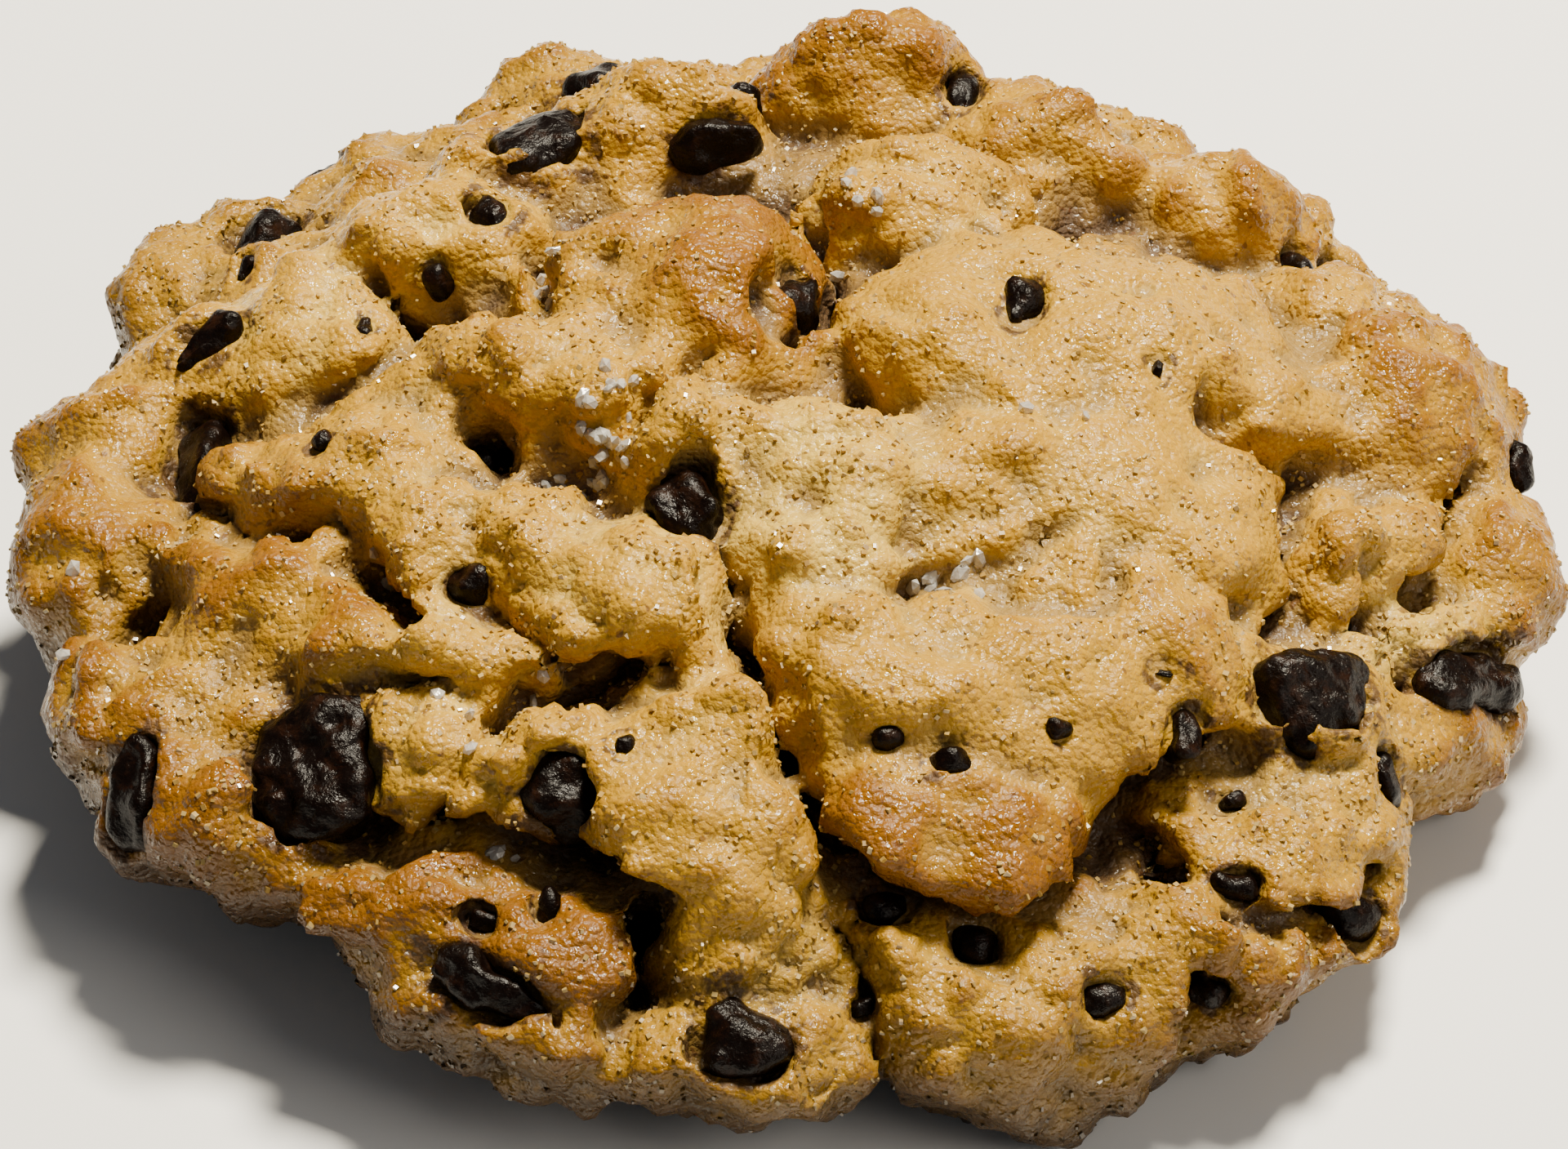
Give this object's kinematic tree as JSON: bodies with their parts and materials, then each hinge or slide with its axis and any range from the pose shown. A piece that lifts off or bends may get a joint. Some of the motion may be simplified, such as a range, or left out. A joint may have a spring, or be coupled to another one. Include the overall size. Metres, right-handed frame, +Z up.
{
  "type": "chocolate chip cookie",
  "caption": "Thick, craggy home-baked cookie with a flat base, a domed top broken into lobes and plates, and dark chocolate chips set in the dough.",
  "frame": {"origin": "middle of the flat base, on the surface the cookie rests on", "axes": "+Z up, -Y towards the low broken front of the cookie, +X to its right seen from the front"},
  "size_m": [0.0923, 0.0946, 0.0284],
  "materials": {
    "dough": "baked dough, golden tan with browned crags and a fine sugary grain",
    "chocolate": "dark chocolate, half glossy"
  },
  "bodies": {
    "root": {"dough": "dough", "chip_01": "chocolate", "chip_02": "chocolate", "chip_03": "chocolate", "chip_04": "chocolate", "chip_05": "chocolate", "chip_06": "chocolate", "chip_07": "chocolate", "chip_08": "chocolate", "chip_09": "chocolate", "chip_10": "chocolate", "chip_11": "chocolate", "chip_12": "chocolate", "chip_13": "chocolate", "chip_14": "chocolate", "chip_15": "chocolate", "chip_16": "chocolate", "chip_17": "chocolate", "chip_18": "chocolate", "chip_19": "chocolate", "chip_20": "chocolate", "chip_21": "chocolate", "chip_22": "chocolate", "chip_23": "chocolate", "chip_24": "chocolate", "chip_25": "chocolate", "chip_26": "chocolate", "chip_27": "chocolate", "chip_28": "chocolate", "chip_29": "chocolate", "chip_30": "chocolate", "chip_31": "chocolate", "chip_32": "chocolate", "chip_33": "chocolate", "chip_34": "chocolate", "chip_35": "chocolate", "chip_36": "chocolate", "chip_37": "chocolate", "chip_38": "chocolate", "chip_39": "chocolate", "chip_40": "chocolate", "chip_41": "chocolate", "chip_42": "chocolate", "chip_43": "chocolate", "chip_44": "chocolate", "chip_45": "chocolate", "chip_46": "chocolate", "chip_47": "chocolate", "chip_48": "chocolate", "chip_49": "chocolate", "chip_50": "chocolate", "chip_51": "chocolate", "chip_52": "chocolate", "chip_53": "chocolate", "chip_54": "chocolate", "chip_55": "chocolate", "chip_56": "chocolate"}
  },
  "joints": []
}
